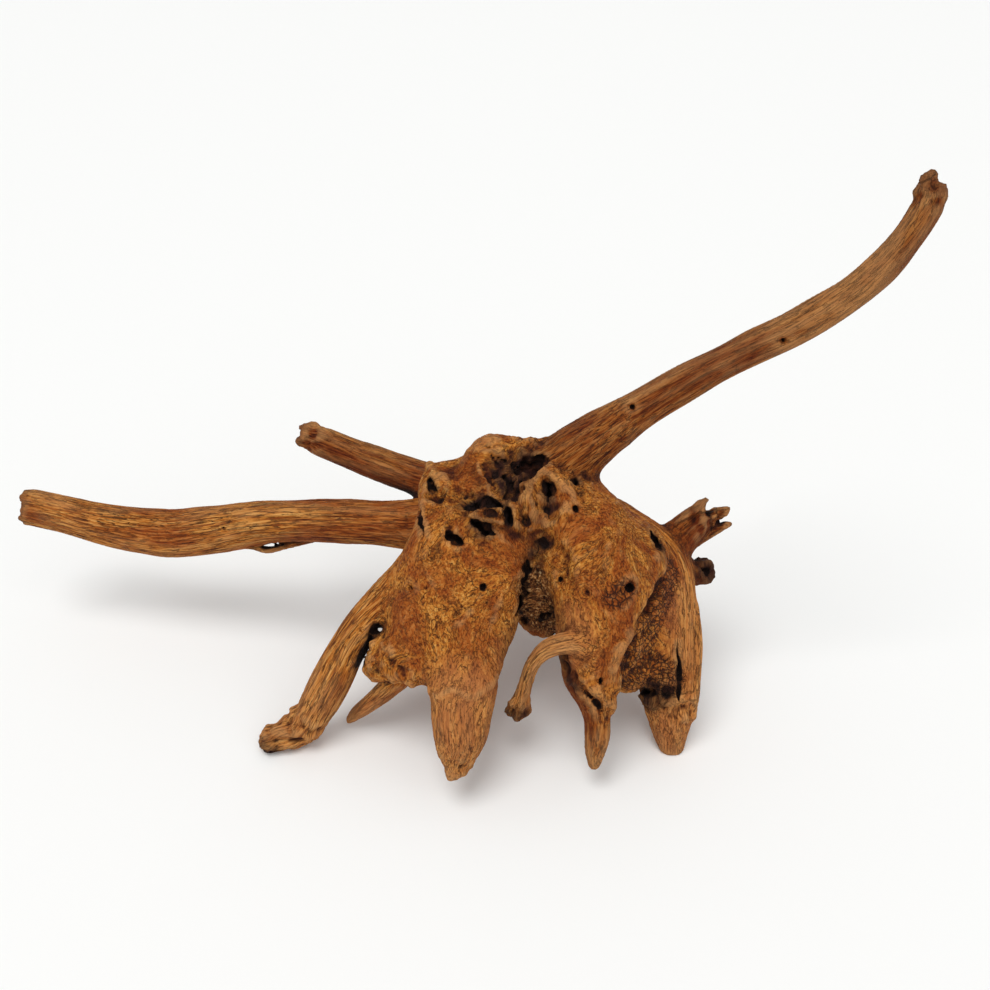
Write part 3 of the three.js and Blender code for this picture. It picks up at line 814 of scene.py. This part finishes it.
# %% Relief
RIDGE, RIDGE_SWAY = (3.0, 3.0, 34), (12, 12, 20)
SWIRLED_RIDGE, SWIRLED_SWAY = (5.5, 5.5, 9.0), 9
SWELL, SWIRLED_SWELL = (14, 14, 30), (14, 14, 17)
FINE_SWELL, FINE_SWIRLED_SWELL = (6, 6, 16), (6, 6, 7)
FLAT_HEIGHT = 3.0   # mm above the table over which the relief fades in, so that the feet stay flat


def in_families(pattern):
    """One pattern, blended from the three families of grain."""
    return sum(share[n] * pattern(grain[n], n) for n in range(3))


def fibres(p, family):
    """Long ridges where the grain is straight, creased swirls where it turns."""
    if family == SWIRL:
        sway = np.stack([noise(p / SWIRLED_SWAY + 5 * n) for n in range(3)], 1) * 3.0
        return 1.5 * (0.5 - np.abs(layered((p + sway) / SWIRLED_RIDGE, 3)))
    sway = 1.6 * noise(p / RIDGE_SWAY)
    return layered((p + sway[:, None] * (1, 1, 0)) / RIDGE, 3)


def swells(p, family):
    """Slow swells with smaller ones on them."""
    wide, narrow = (SWELL, FINE_SWELL) if family else (SWIRLED_SWELL, FINE_SWIRLED_SWELL)
    return noise(p / wide) + 0.5 * noise(p / narrow + 9)


relief = 0.45 * in_families(fibres) + 0.75 * in_families(swells)
FLAKE, CRUMB, LUMP = 6.5, 3.2, 4.4   # mm, widths in rotten, crumbly and lumpy wood
flakes = 1 - 2 * np.abs(layered(points / FLAKE + 40, 3))
crumbs = layered(points / CRUMB + 70, 2)
relief += lumpy * 1.7 * layered(points / LUMP + 3, 2)
relief += web * (flakes + 0.9 * crumbs - 0.6)
relief += rot_and_shade * (1.7 * flakes + 0.7 * crumbs - 0.8)
relief += crackle * (0.45 * crumbs - 0.7)
relief += ends * 0.8 * crumbs
above_table = np.clip(points[:, 2] / FLAT_HEIGHT, 0, 1)
points = points + normals * (relief * above_table)[:, None]
points[:, 2] = np.maximum(points[:, 2], 0)
normals = normals_of(points, quads)
print("relief, mm:", round(float(relief.min()), 2), "to", round(float(relief.max()), 2))

# %% [markdown]
# ## Hollow and sheltered places
# Hollows and places under other wood are painted darker as painted shade, and wear makes ridges
# pale. Two numbers tell the material where that is: how far a point lies below its neighbours, and
# how close other wood is above it. A shader could look for hollows itself, but a stored number costs
# nothing in the render and can be exported.

# %% Cavity and shelter
EDGE_FROM = quads.ravel()
EDGE_TO = np.roll(quads, -1, 1).ravel()
NEIGHBOURS = np.bincount(EDGE_FROM, minlength=len(points)) + np.bincount(EDGE_TO, minlength=len(points))


def evened(values):
    """Each point's mean over its neighbours, which smooths numbers or places."""
    total = np.zeros_like(values)
    for n in range(values.shape[1]):
        total[:, n] = np.bincount(EDGE_FROM, values[EDGE_TO, n], len(points))
        total[:, n] += np.bincount(EDGE_TO, values[EDGE_FROM, n], len(points))
    return total / NEIGHBOURS[:, None]


def below_neighbours(rounds):
    """How far each point lies below the smoothed surface, in mm."""
    smooth = points
    for _ in range(rounds):
        smooth = evened(smooth)
    return np.einsum("ij,ij->i", smooth - points, normals)


# how far each point lies below its neighbours: it paints shade into hollows and paler wear onto ridges
cavity = np.clip(0.5 + 0.9 * below_neighbours(2) + 0.35 * below_neighbours(12), 0, 1)
cavity = evened(cavity[:, None])[:, 0]
LOOKS_UP = ((2.5, 0.4), (6.0, 0.35), (12.0, 0.25))   # mm above the surface, and its weight
# how close other wood lies above each point; the material uses it only to paint shade into holes
shelter = np.zeros(len(points))
for reach, weight in LOOKS_UP:
    shelter += weight * np.clip(1 - look_up(points + normals * reach) / reach, 0, 1)
print("cavity, lowest and highest twentieth:", np.percentile(cavity, (5, 95)).round(2))
print("shelter from", shelter.min().round(2), "to", shelter.max().round(2))

# %% [markdown]
# ## The mesh
# The root grew as one body, so it is one object and stands for the one node of the solid model. The
# numbers that the material reads are stored on its points, because the grain can't be told from the
# shape alone.

# %% Build the root


def build_mesh(name, points, quads):
    """A smooth-shaded object of quads, written in one go because a loop over points would be slow."""
    mesh = bpy.data.meshes.new(name)
    mesh.vertices.add(len(points))
    mesh.vertices.foreach_set("co", ((points - MIDDLE) * MM).ravel())
    mesh.loops.add(quads.size)
    mesh.loops.foreach_set("vertex_index", quads.ravel())
    mesh.polygons.add(len(quads))
    mesh.polygons.foreach_set("loop_start", np.arange(len(quads)) * 4)
    mesh.update(calc_edges=True)
    mesh.validate()
    mesh.shade_smooth()
    piece = bpy.data.objects.new(name, mesh)
    bpy.context.scene.collection.objects.link(piece)
    return piece


def store(mesh, name, values):
    """Keep one number or one vector for each point, where the material can read it."""
    if values.ndim == 2:
        mesh.attributes.new(name, "FLOAT_VECTOR", "POINT").data.foreach_set("vector", values.ravel())
    else:
        mesh.attributes.new(name, "FLOAT", "POINT").data.foreach_set("value", values)


STORED_NUMBERS = {
    "share_1": share[ODD], "share_2": share[EVEN], "shelter": shelter, "cavity": cavity, "rot_and_shade": rot_and_shade,
    "web": web, "crackle": crackle, "pale": pale, "dusky": dusky, "ends": ends, "knot": knot,
}
root = build_mesh("root_wood", points, quads)
for family in (SWIRL, ODD, EVEN):
    store(root.data, f"grain_{family}", grain[family])
for name, values in STORED_NUMBERS.items():
    store(root.data, name, values)
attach(root, "root")
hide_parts(NODE)
print("root:", 2 * len(root.data.polygons), "triangles")

# %% [markdown]
# ## Bare, dry root wood
# Dead root wood without bark: worn heartwood, orange-brown on the lobes, red-brown in the grain,
# paler on the dry feet and almost black in the holes, from rot and from painted shade. Weather and
# handling left it dull, with a roughness near 0.8 and wood's usual index of refraction of about 1.5.
# A picture of wood wrapped round the mesh would show seams, so noise that runs along the stored grain
# draws it instead.

# %% Colours and nodes
MATH, VECTOR_MATH, MIX = "ShaderNodeMath", "ShaderNodeVectorMath", "ShaderNodeMix"
RAMP, NOISE, STORED = "ShaderNodeValToRGB", "ShaderNodeTexNoise", "ShaderNodeAttribute"


def linear(code):
    """Linear colour of an sRGB hex value."""
    value = [int(code[i:i + 2], 16) / 255 for i in (1, 3, 5)]
    return [v / 12.92 if v <= 0.04045 else ((v + 0.055) / 1.055) ** 2.4 for v in value] + [1.0]


def add(tree, kind, inputs=(), out="", stops=(), **settings):
    """Add a node with its settings, set or link its inputs, and give back one of its outputs."""
    node = tree.nodes.new(kind)
    for name, value in settings.items():
        setattr(node, name, value)
    for _ in stops[2:]:   # a new ramp has two stops
        node.color_ramp.elements.new(0.5)
    for element, (place, colour) in zip(node.color_ramp.elements if stops else (), stops):
        element.position = place
        element.color = linear(colour) if isinstance(colour, str) else (colour, colour, colour, 1)
    for key, value in inputs.items() if isinstance(inputs, dict) else enumerate(inputs):
        if isinstance(value, bpy.types.NodeSocket):
            tree.links.new(value, node.inputs[key])
        else:
            node.inputs[key].default_value = linear(value) if isinstance(value, str) else value
    return node.outputs[out] if out else next(s for s in node.outputs if s.enabled)


print("orange-brown in linear numbers:", [round(v, 3) for v in linear("#C07D3A")])

# %% [markdown]
# ## Patterns that follow the grain
# Everything that fibres cause is a noise stretched along them: wide bands, bundles of fibres, pores
# and drying cracks. One noise is drawn for each family of grain and the three are blended by the
# stored shares. Real fibres are about 0.02 mm thick and pores 0.1 to 0.3 mm wide, too fine to show,
# so both are drawn coarser, at 0.4 to 0.8 mm.

# %% Grain patterns
ROUGH_NOISE = 0.55       # how strongly the finer layers of a noise show
SWIRL_LENGTH = 0.38      # a swirling pattern is 1 / 0.38 times as long as it is wide
SWIRL_DISTORTION = 0.7   # and curls up more than a straight one
material = bpy.data.materials.new("dry_root_wood")
material.use_nodes = True
tree = material.node_tree
shader = tree.nodes["Principled BSDF"]
stored = {name: add(tree, STORED, out="Fac", attribute_name=name) for name in STORED_NUMBERS}


def grain_noise(across, along, swirl, detail, distortion=0.0):
    """Noise with bumps of these sizes in mm, across and along the fibres and where they swirl."""
    values = []
    for family in (SWIRL, ODD, EVEN):
        swirls = family == SWIRL
        scale = (1 / across, 1 / across, 1 / along)
        if swirls:
            scale = (1 / swirl, 1 / swirl, SWIRL_LENGTH / swirl)
        place = add(tree, STORED, out="Vector", attribute_name=f"grain_{family}")
        values.append(add(tree, NOISE, {
            "Vector": add(tree, VECTOR_MATH, [place, scale], operation="MULTIPLY"), "Scale": 1.0,
            "Detail": detail, "Roughness": ROUGH_NOISE,
            "Distortion": SWIRL_DISTORTION if swirls else distortion}))
    odd = add(tree, MIX, {"Factor": stored["share_1"], "A": values[SWIRL], "B": values[ODD]})
    return add(tree, MIX, {"Factor": stored["share_2"], "A": odd, "B": values[EVEN]})


bands = grain_noise(2.6, 45.0, 4.5, 3.0, 0.5)      # years of fast and slow growth
fibre = grain_noise(0.75, 13.0, 1.0, 4.0, 0.2)     # bundles of fibres, drawn coarser than fibres
hair = grain_noise(0.4, 8.0, 0.5, 2.0)             # the finest fibres that show, for the bump
pores = grain_noise(0.8, 5.0, 0.9, 3.0)            # pores, drawn coarser than they are
cracks = grain_noise(1.9, 26.0, 4.6, 3.0, 0.4)     # its middle value runs along the cracks
patches = grain_noise(16.0, 60.0, 15.0, 2.0)       # stains a finger wide
lumps = grain_noise(2.2, 30.0, 2.6, 2.0, 0.4)      # dents and ridges of wear, for the bump
print("nodes for the grain:", len(tree.nodes))

# %% [markdown]
# ## The colour of sound wood
# The fibres go from red-brown to a light orange-brown. Where they run straight, as on a branch, they
# show more contrast than where they swirl. The broad differences are washes laid over that: each
# says where it goes, in which colour, and whether it tints or covers.

# %% Fibres and the first washes
flowing = add(tree, MATH, [stored["share_1"], stored["share_2"]], operation="ADD")
wide_part = add(tree, MATH, [bands, 0.36], operation="MULTIPLY")
tone = add(tree, MATH, [fibre, 0.64, wide_part], operation="MULTIPLY_ADD")
tone = add(tree, MATH, [tone, 0.5], operation="SUBTRACT")
contrast = add(tree, MATH, [flowing, 0.42, 0.90], operation="MULTIPLY_ADD")
middle_tone = add(tree, MATH, [flowing, 0.020, 0.531], operation="MULTIPLY_ADD")
tone = add(tree, MATH, [tone, contrast, middle_tone], operation="MULTIPLY_ADD")
wood = add(tree, RAMP, [tone], stops=[
    (0.34, "#562611"), (0.42, "#834216"), (0.50, "#A96428"), (0.57, "#C07D3A"), (0.69, "#D69F63")])

swirling = add(tree, MATH, [flowing, -0.7, 1.0], operation="MULTIPLY_ADD")
redder = add(tree, RAMP, [patches], stops=[(0.40, 0.65), (0.55, 0.0)])
dried = add(tree, MATH, [stored["pale"], 0.26], operation="MULTIPLY")
straight = add(tree, MATH, [flowing, 0.8], operation="MULTIPLY")
washes = [
    (swirling, "#FFFAD0", "MULTIPLY"),
    (redder, "#B97A55", "MULTIPLY"),
    (dried, "#D49B68", "MIX"),
    (straight, "#FDF4D8", "MULTIPLY"),
    (stored["dusky"], "#B8A08A", "MULTIPLY"),
]
print(len(washes), "washes so far")

# %% [markdown]
# ## Specks, drying cracks and growth rings
# Dirt fills the pores as dark specks. Drying opens thin cracks along the grain, drawn where a noise
# passes its middle, which gives long unbroken lines. Round a knot the growth rings show as dark arcs
# about 1.2 mm apart.

# %% Dark marks in the grain
speck = add(tree, RAMP, [pores], stops=[(0.57, 0.0), (0.62, 0.55)])

off_middle = add(tree, MATH, [cracks, 0.5], operation="SUBTRACT")
off_middle = add(tree, MATH, [off_middle], operation="ABSOLUTE")
thin_line = add(tree, RAMP, [off_middle], stops=[(0.0, 1.0), (0.010, 0.8), (0.022, 0.0)])
how_dark = add(tree, RAMP, [patches], stops=[(0.40, 0.3), (0.58, 0.8)])
how_dark = add(tree, MATH, [flowing, 0.12, how_dark], operation="MULTIPLY_ADD")
crack_line = add(tree, MATH, [thin_line, how_dark], operation="MULTIPLY")

RING_TURNS = 5.2   # radians for each millimetre from the knot
rings = add(tree, MATH, [stored["knot"], RING_TURNS], operation="MULTIPLY")
rings = add(tree, MATH, [bands, 9.0, rings], operation="MULTIPLY_ADD")
rings = add(tree, MATH, [rings], operation="SINE")
rings = add(tree, RAMP, [rings], stops=[(0.35, 0.0), (0.95, 0.5)])
near_knot = add(tree, MATH, [stored["knot"], 0.1], operation="MULTIPLY")
near_knot = add(tree, RAMP, [near_knot], stops=[(0.15, 1.0), (0.75, 0.0)])
growth = add(tree, MATH, [rings, near_knot], operation="MULTIPLY")
washes += [(speck, "#4F260F", "MIX"), (crack_line, "#3A1A0B", "MIX"), (growth, "#4A220F", "MIX")]
print(len(washes), "washes so far")

# %% [markdown]
# ## Hollows, worn ridges and the crackled band
# Hollows are painted a darker red-brown as painted shade, and ridges are worn pale. On the right
# lobe a skin of old bark wood shrank into small plates with dark seams. The borders of a Voronoi
# pattern look like that, once noise has bent them. Its plates are 2.3 mm wide.

# %% Hollows, ridges and crackle
# painted shade: the lower a point lies below its neighbours, the darker red-brown it is painted
hollow = add(tree, RAMP, [stored["cavity"]], stops=[(0.56, 0.0), (0.85, 0.9)])
ridge = add(tree, RAMP, [stored["cavity"]], stops=[(0.08, 0.45), (0.36, 0.0)])

PLATE, BEND = 2.3, 2.5   # mm
place = add(tree, STORED, out="Vector", attribute_name="grain_0")
bend = add(tree, NOISE, {"Vector": place, "Scale": 0.35, "Detail": 2.0}, out="Color")
moved = add(tree, VECTOR_MATH, [bend, (BEND, BEND, BEND), place], operation="MULTIPLY_ADD")
plates = {"Vector": moved, "Scale": 1 / PLATE}
seam = add(tree, "ShaderNodeTexVoronoi", plates, feature="DISTANCE_TO_EDGE")
seam = add(tree, RAMP, [seam], stops=[(0.02, 1.0), (0.12, 0.0)])
seam = add(tree, MATH, [seam, stored["crackle"]], operation="MULTIPLY")
crackled = add(tree, MATH, [stored["crackle"], 0.3], operation="MULTIPLY")
dark_seam = add(tree, MATH, [seam, 0.85], operation="MULTIPLY")
washes += [
    (hollow, "#6B3E2A", "MULTIPLY"),
    (ridge, "#C8935C", "MIX"),
    (crackled, "#B97C60", "MULTIPLY"),
    (dark_seam, "#3A1C12", "MIX"),
]
print(len(washes), "washes so far")

# %% [markdown]
# ## Rot, broken ends and deep shade
# Rotten wood is almost black in the crown, and crumbles to light and dark grains in the web. Broken
# ends are brown and dull. Places that have other wood close above them, as in the holes, are
# painted darker as painted shade.

# %% Rot, ends and shade
rot_and_shade_dark = add(tree, RAMP, [bands], stops=[(0.40, 1.0), (0.62, 0.68)])
rot_and_shade_dark = add(tree, MATH, [stored["rot_and_shade"], rot_and_shade_dark], operation="MULTIPLY")
crumb = add(tree, NOISE, {"Vector": place, "Scale": 0.75, "Detail": 4.0, "Roughness": 0.7})
crumb = add(tree, RAMP, [crumb], stops=[
    (0.43, "#1A0B07"), (0.50, "#663719"), (0.58, "#A9743F"), (0.68, "#DDBB8A")])
crumbled = add(tree, MATH, [stored["web"], 0.9], operation="MULTIPLY")
frayed = add(tree, MATH, [stored["ends"], 0.6], operation="MULTIPLY")
# painted shade: darker where other wood lies close above, as in the holes
painted_hole_shade = add(tree, RAMP, [stored["shelter"]], stops=[(0.40, 0.0), (0.60, 0.5), (0.80, 1.0)])
washes += [
    (rot_and_shade_dark, "#2E120A", "MIX"),
    (crumbled, crumb, "MIX"),
    (frayed, "#6A3A1E", "MIX"),
    (painted_hole_shade, "#1C0D08", "MIX"),
]
for where, colour, how in washes:
    wood = add(tree, MIX, {"Factor": where, "A": wood, "B": colour}, data_type="RGBA", blend_type=how)
tree.links.new(wood, shader.inputs["Base Color"])
print(len(washes), "washes laid")

# %% [markdown]
# ## The dull surface
# The wood has no varnish. It reflects little and evenly, a bit less dully on raised fibres. Fibres,
# lumps and cracks below the size of the mesh become a bump of up to 1.5 mm.

# %% Roughness and bump
BUMP_DEPTH = 1.5   # mm
shader.inputs["IOR"].default_value = 1.5
shader.inputs["Specular IOR Level"].default_value = 0.18
tree.links.new(add(tree, RAMP, [fibre], stops=[(0.3, 0.92), (0.7, 0.7)]), shader.inputs["Roughness"])

fine = add(tree, MATH, [hair, 0.12], operation="MULTIPLY")
fibre_height = add(tree, MATH, [flowing, 0.35, 0.35], operation="MULTIPLY_ADD")
height = add(tree, MATH, [fibre, fibre_height, fine], operation="MULTIPLY_ADD")
height = add(tree, MATH, [lumps, 1.1, height], operation="MULTIPLY_ADD")
for mark, depth in ((crack_line, 0.4), (growth, 0.4), (speck, 0.45), (seam, 0.9)):
    height = add(tree, MATH, [mark, -depth, height], operation="MULTIPLY_ADD")
bump = add(tree, "ShaderNodeBump", {"Height": height, "Strength": 1.0, "Distance": BUMP_DEPTH * MM})
tree.links.new(bump, shader.inputs["Normal"])
root.data.materials.append(material)
print("nodes of the wood:", len(tree.nodes))

# %% [markdown]
# ## Floor and light
# The root lies on a plain white table in a bright room with many ceiling lights, so its shadows are
# soft and faint. A light for each lamp would need places that the photograph doesn't show, so one
# very wide sun stands in for the ceiling lights, a weaker and wider one for the window, and the world
# for the walls. The plain view transform keeps the table as white as it is.

# %% Stage
FLOOR_REACH = 3.0   # m
paint = bpy.data.materials.new("pale_floor")
paint.use_nodes = True
paint.node_tree.nodes["Principled BSDF"].inputs["Base Color"].default_value = linear("#F6F6F4")
paint.node_tree.nodes["Principled BSDF"].inputs["Roughness"].default_value = 0.7
floor_mesh = bpy.data.meshes.new("floor")
floor_corners = [(x * FLOOR_REACH, y * FLOOR_REACH, 0) for x, y in ((-1, -1), (1, -1), (1, 1), (-1, 1))]
floor_mesh.from_pydata(floor_corners, [], [(0, 1, 2, 3)])
floor_mesh.materials.append(paint)
floor = bpy.data.objects.new("floor", floor_mesh)
bpy.context.scene.collection.objects.link(floor)


def ceiling_light(name, towards, strength, spread):
    """A sun that shines towards a direction, spread over an angle in degrees."""
    x, y, z = towards
    data = bpy.data.lights.new(name, "SUN")
    data.energy = strength
    data.angle = math.radians(spread)
    data.color = (1.0, 1.0, 1.0)
    light = bpy.data.objects.new(name, data)
    light.location = (0, 0, 1)
    light.rotation_euler = (math.atan2(math.hypot(x, y), -z), 0, math.atan2(x, -y) + math.pi)
    bpy.context.scene.collection.objects.link(light)


ceiling_light("ceiling", (0.22, 0.30, -1.0), 1.50, 35)
ceiling_light("window", (-0.5, 0.75, -0.8), 0.45, 50)
world = bpy.data.worlds.new("room")
world.use_nodes = True
world.node_tree.nodes["Background"].inputs["Color"].default_value = linear("#F6F7F8")
world.node_tree.nodes["Background"].inputs["Strength"].default_value = 0.58
bpy.context.scene.world = world
bpy.context.scene.view_settings.view_transform = "Standard"
